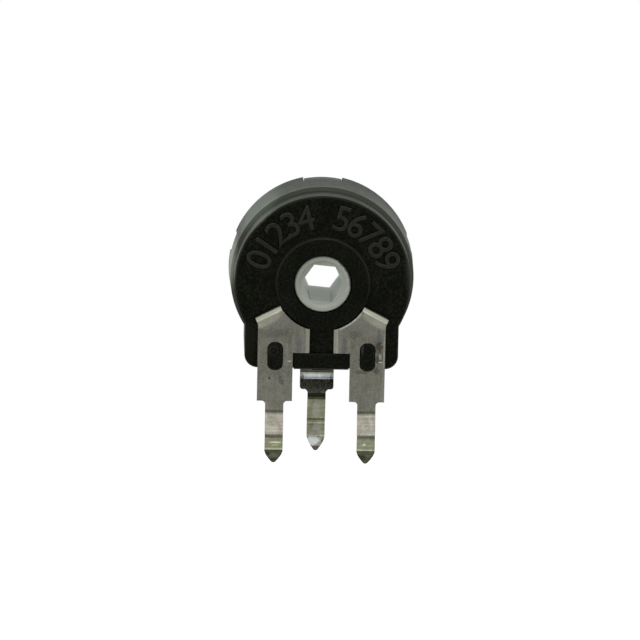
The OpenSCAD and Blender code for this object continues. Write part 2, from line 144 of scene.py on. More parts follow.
class TrimmerStage(bpy.types.PropertyGroup):
    """Camera, floor and light."""

    azimuth: bpy.props.FloatProperty(
        name="Azimuth", description="Turn of the camera round the part, from straight behind it",
        default=math.radians(-1.5), subtype="ANGLE")
    elevation: bpy.props.FloatProperty(
        name="Elevation", description="Height of the camera as an angle",
        default=math.radians(11.6), subtype="ANGLE")
    roll: bpy.props.FloatProperty(
        name="Roll", description="Turn of the picture",
        default=math.radians(1.2), subtype="ANGLE")
    distance: bpy.props.FloatProperty(
        name="Distance", description="Distance from the camera to the hub",
        default=0.3, min=0.05, unit="LENGTH")
    width: bpy.props.FloatProperty(
        name="Width", description="Width of the picture at the hub",
        default=34.82 * MM, min=5 * MM, unit="LENGTH")
    aim_side: bpy.props.FloatProperty(
        name="Aim to the side", description="How far right of the hub the camera aims",
        default=-0.157 * MM, unit="LENGTH")
    aim_up: bpy.props.FloatProperty(
        name="Aim upwards", description="How far above the hub the camera aims",
        default=-1.929 * MM, unit="LENGTH")
    floor_drop: bpy.props.FloatProperty(
        name="Floor", description="How far below the pins the floor lies",
        default=12 * MM, min=0.0, unit="LENGTH")
    floor_reach: bpy.props.FloatProperty(
        name="Floor's radius", description="Radius of the round floor",
        default=60 * MM, min=10 * MM, unit="LENGTH")
    surround: bpy.props.FloatProperty(
        name="Surround", description="Light that the surround gives from below the horizon",
        default=0.95, min=0.0)
    above: bpy.props.FloatProperty(
        name="Above", description="Light that it gives from above the horizon, as a share",
        default=0.68, min=0.0)
    front: bpy.props.FloatProperty(
        name="Camera side", description="Brightness of the surround straight in front of the back face",
        default=0.26, min=0.0)
    front_reach: bpy.props.FloatProperty(
        name="Camera side's reach", description="Angle out to which the surround is darker there",
        default=math.radians(27), subtype="ANGLE")
    front_core: bpy.props.FloatProperty(
        name="Camera side's core", description="Angle out to which the surround is darkest there",
        default=math.radians(11), subtype="ANGLE")
    top_light: bpy.props.FloatProperty(
        name="Top light", description="Brightness of the soft light overhead",
        default=1.6, min=0.0)


# Marks and tones


class Mark(NamedTuple):
    """A soft oval mark, with its centre and size in millimetres and its turn in degrees.

    A mark without a colour takes the surface's own."""

    name: str
    centre: tuple
    size: tuple
    colour: tuple
    strength: float
    ragged: float = 0.0
    turn: float = 0.0


def marks_on_arc(name, radius, ways, size, colour, strength, ragged):
    """Marks end to end round the rotor's axis. A way is an angle in radians, to the right from up."""
    return tuple(
        Mark(name, (radius * math.sin(way), 0.0, radius * math.cos(way)), size, colour, strength, ragged,
             -math.degrees(way))
        for way in ways)


# Colours that several marks share, from light to dark

BRIGHT = (0.95, 0.95, 0.9)
# Painted highlight under the terminals' bends
WARM = (0.95, 0.92, 0.8)
PALE = (0.52, 0.5, 0.48)
CREAM = (0.35, 0.35, 0.29)
BLUISH = (0.24, 0.25, 0.29)
# Painted shade beside the terminals' inner edges
DIM = (0.23, 0.215, 0.19)
SMUDGE = (0.2, 0.2, 0.2)
# Painted shade at the ends of the middle terminal's bright band
NECK_SHADE = (0.15, 0.15, 0.14)
DARK = (0.09, 0.08, 0.065)
# Painted shade on the pins' down-facing tips
TIP_SHADE = (0.02, 0.02, 0.018)
# Painted highlight of the left peg's staking ring
STAKING_RING_HIGHLIGHT = (0.026, 0.027, 0.02)
# Painted highlight on the hub's upper edge
HUB_EDGE_HIGHLIGHT = (0.021, 0.021, 0.018)

# The black mouldings, whose painted sheen on the left side runs over from the housing to the cover

# Painted sheen: the skirt's left side is much lighter
LEFT_SIDE_SHEEN = Mark("painted sheen on the left side", (-5.6, 2.6, 1.5), (1.06, 6.0, 3.7), (0.32, 0.35, 0.305), 0.9, 0.1)

HOUSING_MARKS = (
    Mark("foot block", (-4.1, 0.3, -3.3), (0.6, 1.2, 1.5), (0.0085, 0.0088, 0.0062), 0.85, 1.2),
    # The left peg's staking ring with a painted highlight, and a painted highlight on the right peg's
    # edge
    Mark("left peg's staking ring, painted highlight", (-2.62, -0.2, -3.7), (0.34, 0.9, 0.38), STAKING_RING_HIGHLIGHT, 0.7, 0.6),
    Mark("left peg's dimple", (-2.6, -0.2, -3.72), (0.23, 0.9, 0.26), None, 1.0, 0.3),
    Mark("left peg's painted highlight in the middle", (-2.62, -0.2, -3.7), (0.12, 0.9, 0.06), STAKING_RING_HIGHLIGHT, 0.6, 0.6),
    Mark("right peg's painted highlight", (2.24, -0.2, -3.5), (0.09, 0.9, 0.5), (0.03, 0.033, 0.045), 1.0, 0.4),
    # Painted highlight along the upper left of the face's edge
    Mark("painted highlight on the face edge", (-3.25, 0.48, 3.35), (1.5, 0.17, 1.3), (0.09, 0.088, 0.078), 0.8, 0.6),
    # Painted sheen on the skirt's step, its right side and its upper left
    Mark("painted sheen on the step", (0.0, 2.04, 2.6), (30.0, 0.22, 7.0), (0.06, 0.06, 0.052), 0.9, 0.5),
    Mark("painted sheen on the right side", (5.5, 2.6, 1.2), (1.3, 6.0, 3.6), (0.06, 0.062, 0.055), 0.8, 0.1),
    Mark("painted sheen on the upper left", (-3.78, 2.6, 3.78), (2.8, 6.0, 0.78), (0.1, 0.12, 0.103), 0.85, 0.25, 45.0),
    LEFT_SIDE_SHEEN,
)

# The rotor

ROTOR_MARKS = (
    # Painted shade inside the socket and on the upper left, and a painted shadow along the bore's upper
    # right edge
    Mark("socket", (0.0, 2.9, 0.0), (1.5, 3.6, 1.5), (0.25, 0.335, 0.295), 0.9),
    Mark("painted shade on the upper left", (-1.0, -0.05, 0.95), (2.0, 0.5, 2.0), (0.34, 0.345, 0.3), 0.6, 0.2),
) + marks_on_arc(
    "painted shadow at the bore's edge", 1.6, (0.75, 1.0, 1.25, 1.5), (0.42, 0.6, 0.22), (0.08, 0.074, 0.052), 0.85, 0.2)

# The terminals

LEFT_MARKS = (
    # Painted highlight below the bend at the plate's top edge
    Mark("painted highlight under the bend", (-2.6, 0.0, -2.2), (1.4, 0.5, 0.7), PALE, 0.35, 1.0, 29.0),
    Mark("warm painted highlight under the bend", (-2.95, 0.0, -1.95), (1.1, 0.5, 0.42), WARM, 0.55, 0.5, 29.7),
    Mark("smudge on the plate", (-2.6, 0.0, -2.75), (0.9, 0.5, 0.3), SMUDGE, 0.4, 2.4),
    Mark("small smudge", (-1.75, 0.0, -2.9), (0.4, 0.5, 0.5), SMUDGE, 0.25, 2.4),
    Mark("bent strip", (-2.87, 0.1, -1.63), (1.3, 0.6, 0.17), CREAM, 0.85, 0.3, 29.7),
    # Painted highlight on the rolled inner edge, and painted shade beside it
    Mark("painted highlight on the inner edge", (-1.08, 0.0, -3.1), (0.22, 0.5, 0.9), PALE, 0.6, 0.7),
    Mark("painted shade beside the inner edge", (-0.74, 0.0, -3.2), (0.22, 0.5, 1.5), DIM, 0.85, 0.3),
    Mark("bluish streak", (-1.22, 0.0, -3.45), (0.2, 0.5, 0.8), BLUISH, 0.5, 1.0),
    Mark("pale streak", (-1.55, 0.0, -3.3), (0.12, 0.5, 0.6), PALE, 0.45, 0.8),
    Mark("rust spot", (-2.82, 0.0, -5.25), (0.08, 0.5, 0.1), (0.1, 0.04, 0.03), 0.8, 0.2),
    Mark("specks on the shank", (-2.17, 0.0, -5.38), (0.2, 0.5, 0.34), DARK, 0.4, 2.2),
    # Painted highlights across the pin's lower kink
    Mark("painted highlight on the pin's kink", (-2.42, -0.32, -8.77), (0.42, 0.2, 0.065), (0.78, 0.78, 0.58), 0.9, 0.7),
    Mark("fainter painted highlight on the pin's kink", (-2.45, -0.28, -8.93), (0.3, 0.2, 0.045), (0.6, 0.6, 0.45), 0.6, 0.7),
    # Painted shade on the down-facing tip
    Mark("grey painted shade on the tip", (-2.5, -0.1, -9.55), (0.3, 0.2, 0.18), (0.11, 0.11, 0.1), 0.8, 1.8),
    Mark("painted shade on the tip's edge", (-2.84, -0.1, -9.42), (0.16, 0.2, 0.14), TIP_SHADE, 0.8, 1.6),
    Mark("painted shade at the tip's end", (-2.5, -0.05, -9.8), (0.3, 0.2, 0.07), TIP_SHADE, 0.7, 1.0),
    # A small dent on the plate, its glint painted
    Mark("nick with painted glint", (-1.74, 0.0, -4.29), (0.15, 0.2, 0.05), BRIGHT, 1.0),
)

RIGHT_MARKS = (
    # Painted highlight below the bend at the plate's top edge
    Mark("painted highlight under the bend", (2.5, 0.0, -2.2), (1.3, 0.5, 0.8), PALE, 0.45, 1.0, -29.0),
    Mark("warm painted highlight under the bend", (2.95, 0.0, -1.95), (1.1, 0.5, 0.42), WARM, 0.5, 0.5, -29.7),
    Mark("smudge on the plate", (1.75, 0.0, -2.75), (0.5, 0.5, 0.3), SMUDGE, 0.45, 2.6),
    Mark("bent strip", (2.87, 0.1, -1.63), (1.3, 0.6, 0.17), CREAM, 0.85, 0.3, -29.7),
    # Painted highlight on the rolled inner edge, and painted shade beside it
    Mark("painted highlight on the inner edge", (1.02, 0.0, -3.1), (0.22, 0.5, 0.9), PALE, 0.6, 0.7),
    Mark("painted shade beside the inner edge", (0.68, 0.0, -3.2), (0.22, 0.5, 1.5), DIM, 0.85, 0.3),
    Mark("bluish streak", (1.22, 0.0, -3.4), (0.2, 0.5, 0.8), BLUISH, 0.6, 1.0),
    Mark("pale streak", (1.5, 0.0, -3.3), (0.12, 0.5, 0.6), PALE, 0.45, 0.8),
    Mark("brown stain", (2.2, 0.0, -4.85), (0.5, 0.5, 0.14), (0.2, 0.13, 0.1), 0.6, 1.8),
    Mark("bluish edge", (3.14, 0.0, -2.9), (0.14, 0.5, 0.6), BLUISH, 0.6, 1.6),
    Mark("scuff beside the slot", (3.12, 0.0, -3.45), (0.24, 0.5, 0.4), DARK, 0.75, 2.8),
    Mark("lower scuff", (3.1, 0.0, -4.1), (0.24, 0.5, 0.3), DARK, 0.7, 2.8),
    Mark("bare metal in the scuff", (3.2, 0.0, -4.0), (0.1, 0.5, 0.2), BRIGHT, 0.5, 1.5),
    Mark("specks on the shank", (3.0, 0.0, -4.75), (0.16, 0.5, 0.24), DARK, 0.5, 2.4),
    # Painted highlight along the plate's right edge
    Mark("painted highlight on the outer edge", (3.42, 0.0, -3.6), (0.05, 0.5, 1.3), BRIGHT, 0.5, 0.3),
    # Painted highlight at the pin's lower kink
    Mark("painted highlight at the kink", (2.42, -0.32, -8.85), (0.12, 0.2, 0.09), (0.72, 0.72, 0.5), 0.85, 0.9),
    # Painted shade on the down-facing tip
    Mark("grey painted shade on the tip", (2.62, -0.1, -9.5), (0.2, 0.2, 0.14), (0.1, 0.1, 0.075), 0.8, 1.8),
    Mark("painted shade on the tip", (2.3, -0.1, -9.6), (0.26, 0.2, 0.2), (0.03, 0.03, 0.02), 0.8, 1.8),
    # A small dent on the plate, its glint painted
    Mark("nick with painted glint", (3.23, 0.0, -4.28), (0.15, 0.2, 0.05), BRIGHT, 1.0),
# Painted highlight along the plate's arc beside the hub
) + marks_on_arc(
    "painted highlight on the edge round the hub", 2.65, [math.pi - way for way in (0.45, 0.58, 0.72, 0.86)], (0.3, 0.3, 0.07),
    BRIGHT, 1.0, 0.2)

MIDDLE_MARKS = (
    Mark("middle of the shank", (-0.12, 3.4, -7.65), (0.24, 0.8, 0.7), (0.3, 0.27, 0.27), 0.5, 1.2),
    Mark("middle of the kink", (-0.12, 3.4, -8.85), (0.24, 0.8, 0.42), (0.72, 0.68, 0.68), 0.5, 1.2),
    # Painted shade at both ends of the bright band across the neck
    Mark("painted shade at the neck's left end", (-1.01, 3.3, -5.9), (0.22, 0.6, 0.4), NECK_SHADE, 0.7, 0.6),
    Mark("painted shade at the neck's right end", (0.73, 3.3, -5.9), (0.2, 0.6, 0.4), NECK_SHADE, 0.7, 0.6),
    # Painted highlight on the tip, and painted shade on its right side
    Mark("painted highlight on the tip", (-0.3, 3.4, -9.5), (0.44, 0.2, 0.36), (0.6, 0.6, 0.64), 1.0, 1.6),
    Mark("painted shade on the tip's right side", (0.3, 3.4, -9.55), (0.16, 0.2, 0.3), DARK, 0.8, 0.6),
)

# Painted highlights and shade down a pin, for its kinks and tip. Each row has its upper end in
# millimetres and the tone from there down

OUTER_PIN_SHADES = (
    (-7.04, (0.66, 0.64, 0.6)),
    (-7.16, (1.22, 1.14, 1.1)),
    (-8.31, (0.8, 0.8, 0.74)),
    (-8.55, (0.77, 0.79, 0.69)),
    (-9.12, (1.25, 1.27, 1.18)),
    (-9.19, (0.155, 0.155, 0.135)),
)

MIDDLE_PIN_SHADES = (
    (-4.9, (0.09, 0.075, 0.06)),
    (-5.61, (0.75, 0.8, 0.95)),
    (-5.72, (1.15, 1.2, 1.5)),
    (-5.82, (1.75, 1.8, 2.4)),
    (-6.04, (0.95, 0.95, 0.92)),
    (-6.7, (0.06, 0.06, 0.045)),
    (-6.87, (0.14, 0.14, 0.1)),
    (-7.07, (0.5, 0.5, 0.44)),
    (-8.22, (0.2, 0.2, 0.16)),
    (-8.36, (0.5, 0.52, 0.44)),
    (-8.47, (1.42, 1.46, 1.24)),
    (-9.18, (1.6, 1.6, 1.5)),
    (-9.24, (0.75, 0.75, 0.75)),
    (-9.75, (0.22, 0.22, 0.2)),
)

# The ramp of these tones spans two heights in millimetres. It can't hold a tone above one, so it holds
# each at a share, and what leaves it is divided by that share

PLAIN = (1.0, 1.0, 1.0)
BANDS_LOW = -10.4
BANDS_HIGH = -5.0
BAND_BLEND = 0.02
BAND_SHARE = 0.4
KINK_LEVELS = (-7.2 * MM, -7.1 * MM)

# Where the painted sheen on the skirt and the painted highlight ring at the hub's edge begin, and where
# they are full

PAINTED_SHEEN_RADII = (4.6 * MM, 4.9 * MM)
PAINTED_SHEEN_LEVELS = (-3.2 * MM, -1.5 * MM)
MOULDING_SPECULAR_TINT = (0.92, 1.0, 0.76, 1.0)
RING_WIDTHS = (0.03 * MM, 0.09 * MM)
RING_LEVELS = (-1.6 * MM, 0.6 * MM)


# Shader building blocks


class Graph:
    """Adds nodes to a node tree and joins them."""

    def __init__(self, tree):
        self.tree = tree

    def node(self, kind, **values):
        made = self.tree.nodes.new(kind)
        for name, value in values.items():
            setattr(made, name, value)
        return made

    def join(self, start, end):
        self.tree.links.new(start, end)

    def feed(self, socket, value):
        if isinstance(value, bpy.types.NodeSocket):
            self.join(value, socket)
        else:
            socket.default_value = value

    def maths(self, operation, first, second=0.0, third=0.0):
        made = self.node("ShaderNodeMath", operation=operation)
        for socket, value in zip(made.inputs, (first, second, third)):
            self.feed(socket, value)
        return made.outputs["Value"]

    def vector(self, operation, first, second=None, output="Vector"):
        made = self.node("ShaderNodeVectorMath", operation=operation)
        self.feed(made.inputs[0], first)
        if second is not None:
            self.feed(made.inputs[1], second)
        return made.outputs[output]

    def scaled(self, colour, factor):
        made = self.node("ShaderNodeVectorMath", operation="SCALE")
        self.feed(made.inputs[0], colour)
        self.feed(made.inputs["Scale"], factor)
        return made.outputs["Vector"]

    def apart(self, vector):
        made = self.node("ShaderNodeSeparateXYZ")
        self.feed(made.inputs["Vector"], vector)
        return made.outputs

    def mix(self, share, first, second, blend="MIX"):
        made = self.node("ShaderNodeMix", data_type="RGBA", blend_type=blend)
        self.feed(made.inputs["Factor"], share)
        self.feed(made.inputs["A"], first)
        self.feed(made.inputs["B"], second)
        return made.outputs["Result"]

    def place(self, vector, scale, turn=(0.0, 0.0, 0.0), move=(0.0, 0.0, 0.0)):
        made = self.node("ShaderNodeMapping")
        self.feed(made.inputs["Vector"], vector)
        made.inputs["Scale"].default_value = scale
        made.inputs["Rotation"].default_value = turn
        made.inputs["Location"].default_value = move
        return made.outputs["Vector"]

    def noise(self, vector, scale, detail, rough):
        made = self.node("ShaderNodeTexNoise")
        self.feed(made.inputs["Vector"], vector)
        self.feed(made.inputs["Scale"], scale)
        made.inputs["Detail"].default_value = detail
        made.inputs["Roughness"].default_value = rough
        return made.outputs["Fac"]

    def swing(self, noise, amount, middle):
        """A value that a noise moves up and down about the middle."""
        return self.maths("MULTIPLY_ADD", self.maths("SUBTRACT", noise, 0.5), amount, middle)

    def steps(self, value, low, high, to_low=0.0, to_high=1.0):
        """A smooth step from one level to another."""
        made = self.node("ShaderNodeMapRange", interpolation_type="SMOOTHSTEP")
        self.feed(made.inputs["Value"], value)
        made.inputs["From Min"].default_value = low
        made.inputs["From Max"].default_value = high
        made.inputs["To Min"].default_value = to_low
        made.inputs["To Max"].default_value = to_high
        return made.outputs["Result"]


def rgba(colour):
    return (colour[0], colour[1], colour[2], 1.0)


def new_group(name, inputs, outputs):
    """An empty shader group with named sockets, and its graph, its inputs and its output node."""
    group = bpy.data.node_groups.new(name, "ShaderNodeTree")
    for label, kind, value in inputs:
        socket = group.interface.new_socket(label, in_out="INPUT", socket_type="NodeSocket" + kind)
        if value is not None:
            socket.default_value = value
    for label, kind in outputs:
        group.interface.new_socket(label, in_out="OUTPUT", socket_type="NodeSocket" + kind)
    graph = Graph(group)
    return group, graph, graph.node("NodeGroupInput").outputs, graph.node("NodeGroupOutput").inputs


def moulded_skin():
    """Spark-eroded skin of a moulding: a fine grain, slow flow marks and patches of a worn sheen."""
    group, g, given, result = new_group(
        "moulded skin",
        [("Vector", "Vector", None), ("Colour", "Color", (0.02, 0.02, 0.02, 1.0)),
         ("Mottle", "Float", 0.2), ("Sheen", "Float", 0.45)],
        [("Colour", "Color"), ("Roughness", "Float"), ("Height", "Float")])
    where = given["Vector"]
    grain = g.noise(where, scale=8500, detail=3.0, rough=0.7)
    flow = g.noise(g.place(where, (1, 0.5, 1), move=(0.3, 0.1, 0.7)), scale=700, detail=3.0, rough=0.55)
    patch = g.noise(where, scale=260, detail=2.0, rough=0.5)
    slow = g.maths("MULTIPLY", g.maths("SUBTRACT", flow, 0.5), 0.3)
    tone = g.maths("MULTIPLY_ADD", slow, given["Mottle"], 1.0)
    speck = g.maths("MAXIMUM", g.swing(grain, given["Mottle"], tone), 0.1)
    g.join(g.scaled(given["Colour"], speck), result["Colour"])
    rough = g.swing(patch, 0.25, given["Sheen"])
    g.join(g.swing(grain, 0.12, rough), result["Roughness"])
    g.join(g.maths("MULTIPLY_ADD", flow, 0.6, grain), result["Height"])
    return group


def rolled_sheet():
    """Rolled and tinned sheet: fine rolling lines, hazy stains, pits and a few hair scratches."""
    group, g, given, result = new_group(
        "rolled sheet",
        [("Vector", "Vector", None), ("Colour", "Color", (0.5, 0.5, 0.5, 1.0)),
         ("Stain", "Color", (0.2, 0.2, 0.2, 1.0)), ("Stains", "Float", 0.5),
         ("Lines", "Float", 0.1), ("Polish", "Float", 0.3)],
        [("Colour", "Color"), ("Roughness", "Float"), ("Height", "Float")])
    where = given["Vector"]
    lines = g.noise(g.place(where, (1, 1, 0.05)), scale=12000, detail=3.0, rough=0.6)
    haze = g.noise(where, scale=1100, detail=5.0, rough=0.7)
    cloud = g.noise(g.place(where, (1, 1, 0.7), move=(0.4, 0.2, 0.3)), scale=1900, detail=4.0, rough=0.7)
    pits = g.noise(where, scale=9000, detail=2.0, rough=0.5)
    warm = g.noise(g.place(where, (1, 1, 1), move=(0.2, 0.5, 0.1)), scale=420, detail=3.0, rough=0.5)
    along = g.place(where, (1, 1, 0.06), turn=(0.0, 0.5, 0.0))
    hair = g.noise(along, scale=3800, detail=1.0, rough=0.5)
    across = g.place(where, (1, 1, 0.07), turn=(0.0, -1.1, 0.0))
    cross = g.noise(across, scale=3000, detail=1.0, rough=0.5)
    stained = g.maths("MULTIPLY", g.steps(haze, 0.47, 0.66), given["Stains"])
    specks = g.maths("MULTIPLY", g.steps(pits, 0.58, 0.7), given["Stains"])
    scratch = g.maths("MAXIMUM", g.steps(hair, 0.67, 0.71), g.steps(cross, 0.67, 0.71))
    colour = g.mix(stained, given["Colour"], given["Stain"])
    colour = g.mix(g.maths("MULTIPLY", specks, 0.45), colour, given["Stain"])
    colour = g.mix(g.steps(warm, 0.45, 0.7, 0.0, 0.5), colour, (1.0, 0.93, 0.88, 1.0), "MULTIPLY")
    shade = g.swing(lines, given["Lines"], 1.0)
    shade = g.swing(cloud, 1.1, shade)
    shade = g.swing(pits, 0.7, shade)
    bare_metal = (0.6, 0.6, 0.57, 1.0)
    colour = g.mix(g.maths("MULTIPLY", scratch, 0.35), g.scaled(colour, shade), bare_metal)
    g.join(colour, result["Colour"])
    rough = g.maths("MULTIPLY_ADD", stained, 0.16, given["Polish"])
    g.join(g.swing(pits, 0.12, rough), result["Roughness"])
    height = g.maths("MULTIPLY_ADD", lines, 0.5, g.maths("MULTIPLY", pits, 0.4))
    g.join(g.maths("MULTIPLY_ADD", scratch, -0.5, height), result["Height"])
    return group


def local_mark():
    """A soft-edged oval mark at one place of a piece, turned about the rotor's axis."""
    group, g, given, result = new_group(
        "local mark",
        [("Vector", "Vector", None), ("Centre", "Vector", None), ("Size", "Vector", None),
         ("Turn", "Float", 0.0), ("Ragged", "Float", 0.0)],
        [("Mark", "Float")])
    turned = g.node("ShaderNodeVectorRotate", rotation_type="Y_AXIS")
    g.join(g.vector("SUBTRACT", given["Vector"], given["Centre"]), turned.inputs["Vector"])
    g.join(given["Turn"], turned.inputs["Angle"])
    share = g.vector("DIVIDE", turned.outputs["Vector"], given["Size"])
    far = g.vector("LENGTH", share, output="Value")
    torn = g.maths("SUBTRACT", g.noise(given["Vector"], scale=6000, detail=3.0, rough=0.6), 0.5)
    reach = g.maths("MULTIPLY_ADD", torn, given["Ragged"], far)
    g.join(g.steps(reach, 0.55, 1.0, 1.0, 0.0), result["Mark"])
    return group


def group_of(maker):
    """The shader group that a function makes, made once."""
    return bpy.data.node_groups.get(maker.__name__.replace("_", " ")) or maker()


class Finish:
    """A material with a Principled shader, Object coordinates and a Bump."""

    def __init__(self, name, metallic, bump, strength):
        self.material = bpy.data.materials.new(name)
        self.material.use_nodes = True
        tree = self.material.node_tree
        self.graph = Graph(tree)
        self.shader = tree.nodes["Principled BSDF"]
        self.shader.inputs["Metallic"].default_value = metallic
        self.where = self.graph.node("ShaderNodeTexCoord").outputs["Object"]
        self.bump = self.graph.node("ShaderNodeBump")
        self.bump.inputs["Distance"].default_value = bump
        self.bump.inputs["Strength"].default_value = strength
        self.graph.join(self.bump.outputs["Normal"], self.shader.inputs["Normal"])

    def group(self, maker, **values):
        made = self.graph.node("ShaderNodeGroup", node_tree=group_of(maker))
        self.graph.join(self.where, made.inputs["Vector"])
        for name, value in values.items():
            self.graph.feed(made.inputs[name], value)
        return made

    def marked(self, tone, marks, own):
        """A tone with the marks laid over it."""
        for mark in marks:
            spot = self.group(
                local_mark, Centre=[part * MM for part in mark.centre],
                Size=[part * MM for part in mark.size], Turn=math.radians(mark.turn), Ragged=mark.ragged)
            spot.label = mark.name
            share = self.graph.maths("MULTIPLY", spot.outputs["Mark"], mark.strength)
            tone = self.graph.mix(share, tone, rgba(mark.colour or own))
        return tone

    def use(self, colour, roughness, height):
        self.graph.join(colour, self.shader.inputs["Base Color"])
        self.graph.join(roughness, self.shader.inputs["Roughness"])
        self.graph.join(height, self.bump.inputs["Height"])


def rub_outside(finish, tone, skirt_painted_sheen):
    """Paints a sheen on the skirt outside the face, and a highlight ring on the upper part of the hub's
    edge.
    """
    g = finish.graph
    level = g.apart(finish.where)["Z"]
    far = g.vector("LENGTH", g.vector("MULTIPLY", finish.where, (1.0, 0.0, 1.0)), output="Value")
    outside = g.maths("MULTIPLY", g.steps(far, *PAINTED_SHEEN_RADII), g.steps(level, *PAINTED_SHEEN_LEVELS))
    # Painted sheen: the outside of the face takes a lighter colour
    tone = g.mix(outside, tone, rgba(skirt_painted_sheen))
    # Painted highlight: a light ring on the upper part of the hub's edge
    away = g.maths("ABSOLUTE", g.maths("SUBTRACT", far, HUB_RADIUS))
    ring = g.maths("MULTIPLY", g.steps(away, *RING_WIDTHS, 0.9, 0.0), g.steps(level, *RING_LEVELS))
    return g.mix(ring, tone, rgba(HUB_EDGE_HIGHLIGHT))


def moulded_finish(name, colour, sheen, mottle, bump=0.006 * MM, strength=0.5, specular=0.5,
                   skirt_painted_sheen=None, marks=()):
    """A moulding's material. The skirt's colour is given as a painted sheen on the outside, past the
    face.
    """
    finish = Finish(name, 0.0, bump, strength)
    finish.shader.inputs["Specular IOR Level"].default_value = specular
    skin = finish.group(moulded_skin, Colour=rgba(colour), Mottle=mottle, Sheen=sheen).outputs
    tone = skin["Colour"]
    if skirt_painted_sheen:
        finish.shader.inputs["Specular Tint"].default_value = MOULDING_SPECULAR_TINT
        tone = rub_outside(finish, tone, skirt_painted_sheen)
    finish.use(finish.marked(tone, marks, colour), skin["Roughness"], skin["Height"])
    return finish.material


def banded(graph, where, tone, pin_shades):
    """A tone with painted highlights and shade down a pin for its kinks, and fine creases painted where
    it is kinked.
    """
    reach = BANDS_HIGH - BANDS_LOW
    level = graph.apart(where)["Z"]
    share = graph.node("ShaderNodeMapRange")
    graph.join(level, share.inputs["Value"])
    share.inputs["From Min"].default_value = BANDS_LOW * MM
    share.inputs["From Max"].default_value = BANDS_HIGH * MM
    ramp = graph.node("ShaderNodeValToRGB")
    graph.join(share.outputs["Result"], ramp.inputs["Fac"])
    stops = []
    above = PLAIN
    for top, shade in pin_shades:
        stops += [(top + BAND_BLEND, above), (top - BAND_BLEND, shade)]
        above = shade
    elements = ramp.color_ramp.elements
    elements.remove(elements[1])
    elements[0].position = 0.0
    elements[0].color = [part * BAND_SHARE for part in above] + [1.0]
    for height, shade in stops:
        stop = elements.new((height - BANDS_LOW) / reach)
        stop.color = [part * BAND_SHARE for part in shade] + [1.0]
    creases = graph.noise(graph.place(where, (0.03, 0.2, 1)), scale=8000, detail=2.0, rough=0.6)
    kinked = graph.steps(level, *KINK_LEVELS, 0.9, 0.0)
    folded = graph.swing(creases, kinked, 1.0)
    return graph.scaled(graph.mix(1.0, tone, ramp.outputs["Color"], "MULTIPLY"),
                        graph.maths("DIVIDE", folded, BAND_SHARE))


def sheet_finish(name, colour, stain, stains=0.5, lines=0.3, polish=0.24, marks=(), pin_shades=()):
    """Tinned or bare sheet metal, with its own marks and its painted shading down a pin."""
    finish = Finish(name, 1.0, 0.004 * MM, 0.5)
    sheet = finish.group(rolled_sheet, Colour=rgba(colour), Stain=rgba(stain), Stains=stains,
                         Lines=lines, Polish=polish).outputs
    tone = sheet["Colour"]
    if pin_shades:
        tone = banded(finish.graph, finish.where, tone, pin_shades)
    finish.use(finish.marked(tone, marks, colour), sheet["Roughness"], sheet["Height"])
    return finish.material


# Shapes

# How a straight piece of a circle is known, and into how many it is split

RADIUS_GRID = 0.01 * MM
SAME_RADIUS = 0.004 * MM
SAME_LEVEL = 0.002 * MM
LEAST_RADIUS = 0.5 * MM
DEEPEST_SAG = 0.06 * MM
LEAST_ON_CIRCLE = 12
MOST_CUTS = 6

# The outer terminals' bends

SHORTEST_BEND = 0.5 * MM
PLATE_FOOT_Z = -4.4 * MM
BEND_ANGLES = (math.radians(18), math.radians(75))

# The type's size for a number's height, the straight share of its relief, and its round edge

TYPE_SIZE = 1.38
DIGIT_WALL = 0.33
STROKE_EDGE = 0.07 * MM
STROKE_OFFSET = -0.058 * MM


def merged(node):
    """A bmesh of a CAD node with its loose triangles joined and its flat faces whole."""
    shape = bmesh.new()
    shape.from_mesh(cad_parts[node].data)
    bmesh.ops.remove_doubles(shape, verts=shape.verts[:], dist=0.001 * MM)
    bmesh.ops.dissolve_limit(
        shape, angle_limit=math.radians(0.4), use_dissolve_boundaries=False,
        verts=shape.verts[:], edges=shape.edges[:])
    return shape


def radius_of(vert):
    return math.hypot(vert.co.x, vert.co.z)


def round_circles(shape, step):
    """Splits the straight pieces of circles about the rotor's axis, and moves them out to the circle."""
    counts = {}
    for vert in shape.verts:
        key = round(radius_of(vert) / RADIUS_GRID)
        counts[key] = counts.get(key, 0) + 1
    common = {key for key, count in counts.items() if count > LEAST_ON_CIRCLE}

    def on_circle(edge):
        a, b = edge.verts
        ra, rb = radius_of(a), radius_of(b)
        if abs(a.co.y - b.co.y) > SAME_LEVEL or abs(ra - rb) > SAME_RADIUS or ra < LEAST_RADIUS:
            return False
        sag = ra - math.hypot((a.co.x + b.co.x) / 2, (a.co.z + b.co.z) / 2)
        return round(ra / RADIUS_GRID) in common and 0 < sag < DEEPEST_SAG

    groups = {}
    for edge in shape.edges:
        if on_circle(edge):
            cuts = min(MOST_CUTS, math.ceil(edge.calc_length() / step) - 1)
            radius = sum(radius_of(end) for end in edge.verts) / 2
            if cuts > 0:
                groups.setdefault((cuts, round(radius / RADIUS_GRID)), []).append((edge, radius))
    for (cuts, _), members in sorted(groups.items()):
        exact = sum(radius for _, radius in members) / len(members)
        made = bmesh.ops.subdivide_edges(
            shape, edges=[edge for edge, _ in members], cuts=cuts, use_grid_fill=False)
        for item in made["geom_inner"]:
            if isinstance(item, bmesh.types.BMVert):
                far = radius_of(item)
                if 0 < exact - far < DEEPEST_SAG:
                    item.co.x *= exact / far
                    item.co.z *= exact / far


def bevel(shape, edges, width, segments, corner="SHARP"):
    bmesh.ops.bevel(
        shape, geom=edges, offset=width, offset_type="OFFSET", affect="EDGES", segments=segments,
        profile=0.5, material=-1, clamp_overlap=True, loop_slide=True, miter_outer=corner)


